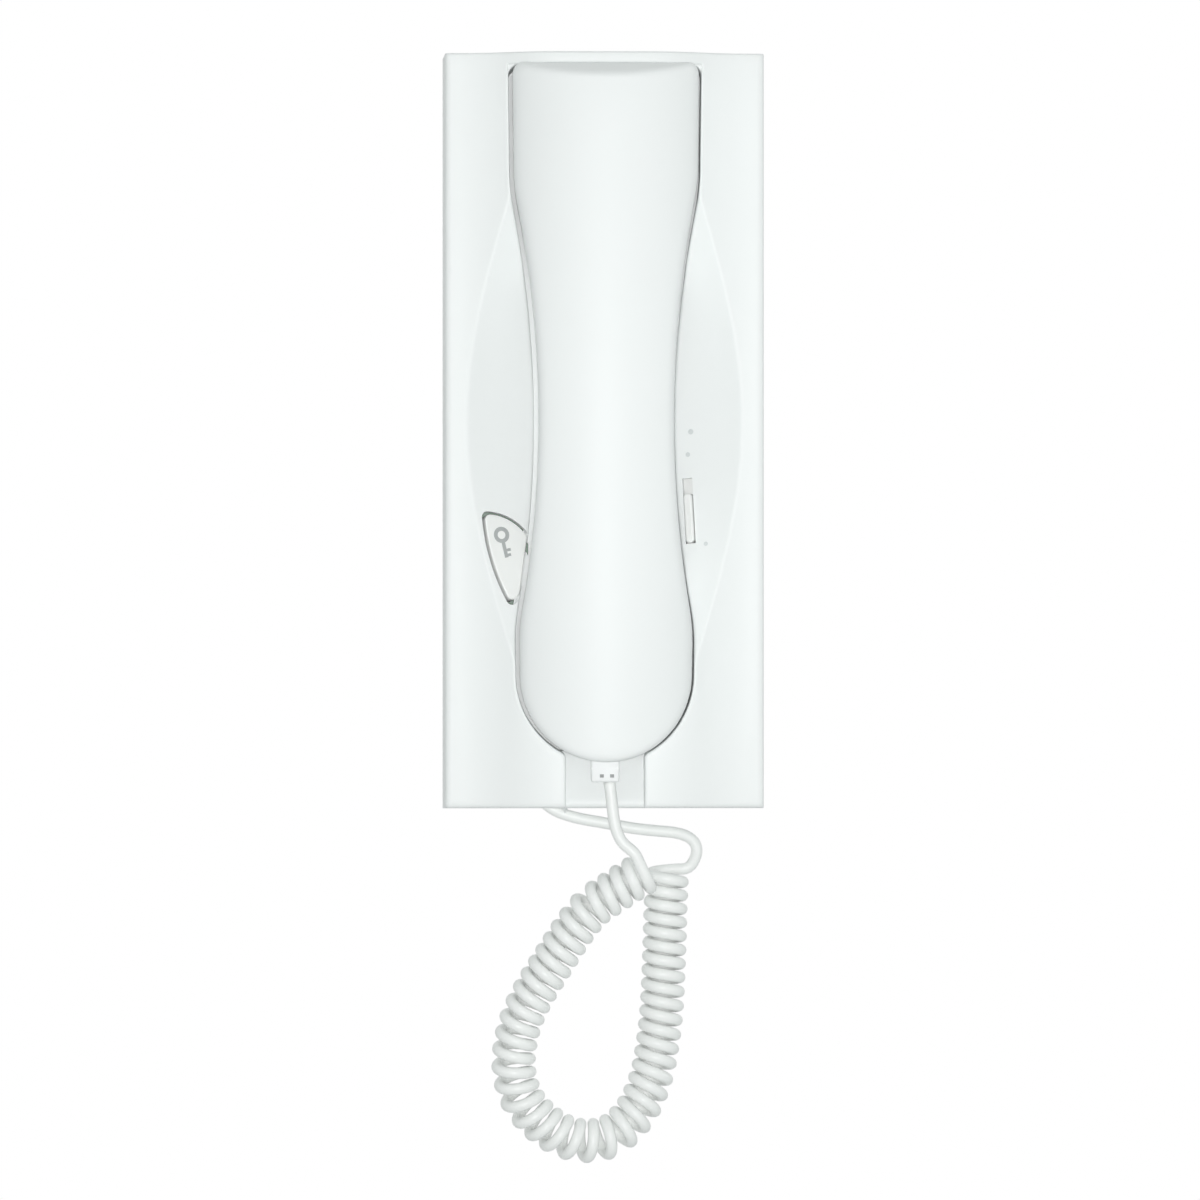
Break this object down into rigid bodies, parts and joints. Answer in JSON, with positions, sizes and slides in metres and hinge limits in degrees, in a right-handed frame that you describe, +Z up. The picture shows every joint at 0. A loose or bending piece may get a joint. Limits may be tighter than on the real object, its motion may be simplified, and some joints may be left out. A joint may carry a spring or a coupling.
{
  "type": "audio intercom handset",
  "caption": "Wall-mounted audio door-entry station: a base with a swelling middle holds a handset in a pocket, with a door-release button, a volume slider and a curly cord hanging in a loop.",
  "frame": {"origin": "centre of the wall plate's back face, in the wall plane", "axes": "+Z up, +X to the right of someone facing the station, +Y into the wall"},
  "size_m": [0.09, 0.057, 0.3077],
  "materials": {
    "shell_white": "glossy moulded",
    "plate_grey": "satin",
    "steel": "zinc plated",
    "board_green": "solder mask",
    "terminal_green": "satin",
    "black_plastic": "satin",
    "lever_white": "satin",
    "brass": "plated",
    "button_white": "satin",
    "rubber_grey": "soft",
    "wire_red": "insulation",
    "wire_blue": "insulation",
    "plug_white": "moulded",
    "cord_white": "satin sheath"
  },
  "bodies": {
    "base": {"wall_plate": "plate_grey", "front_cover": "shell_white", "cover_screws": "steel", "main_board": "board_green", "board_screws": "steel", "terminal_block": "terminal_green", "terminal_screws": "steel", "ringer": "black_plastic", "hook_pin": "steel", "hook_spring": "steel", "hook_contacts": "brass", "button_dome": "rubber_grey", "slide_switch": "black_plastic", "cord_clamp": "plate_grey", "cord_curls": "cord_white", "cord_lead_base": "cord_white"},
    "handset": {"handset_front": "shell_white", "handset_back": "shell_white", "handset_screws": "steel", "earpiece": "black_plastic", "earpiece_gasket": "rubber_grey", "microphone": "steel", "microphone_boot": "rubber_grey", "handset_jack": "black_plastic", "jack_contacts": "brass", "receiver_wires": "wire_red", "microphone_wires": "wire_blue", "handset_plug": "plug_white", "cord_lead_handset": "cord_white"},
    "hook_lever": {"hook_lever": "lever_white"},
    "door_button": {"door_button": "button_white"},
    "volume_slider": {"volume_slider": "button_white"}
  },
  "joints": [
    {"name": "handset_lift", "type": "slide", "parent": "base", "child": "handset", "axis": [0, -1, 0], "range_m": [0, 0.045]},
    {"name": "hook_swing", "type": "hinge", "parent": "base", "child": "hook_lever", "pos_m": [0, -0.0109, 0.0343], "axis": [1, 0, 0], "range_deg": [0, 9.2], "deforming": ["hook_spring", "hook_contacts"]},
    {"name": "door_press", "type": "slide", "parent": "base", "child": "door_button", "axis": [-0.3351, 0.9281, -0.1624], "range_m": [0, 0.0012], "stiffness_N_per_m": 350, "springref_m": -0.002, "deforming": ["button_dome"]},
    {"name": "volume_slide", "type": "slide", "parent": "base", "child": "volume_slider", "axis": [-0.0834, 0.0253, 0.9962], "range_m": [0, 0.004]}
  ],
  "couplings": [
    {"joint": "hook_swing", "follows": "handset_lift", "rad_per_m": 3.49}
  ]
}
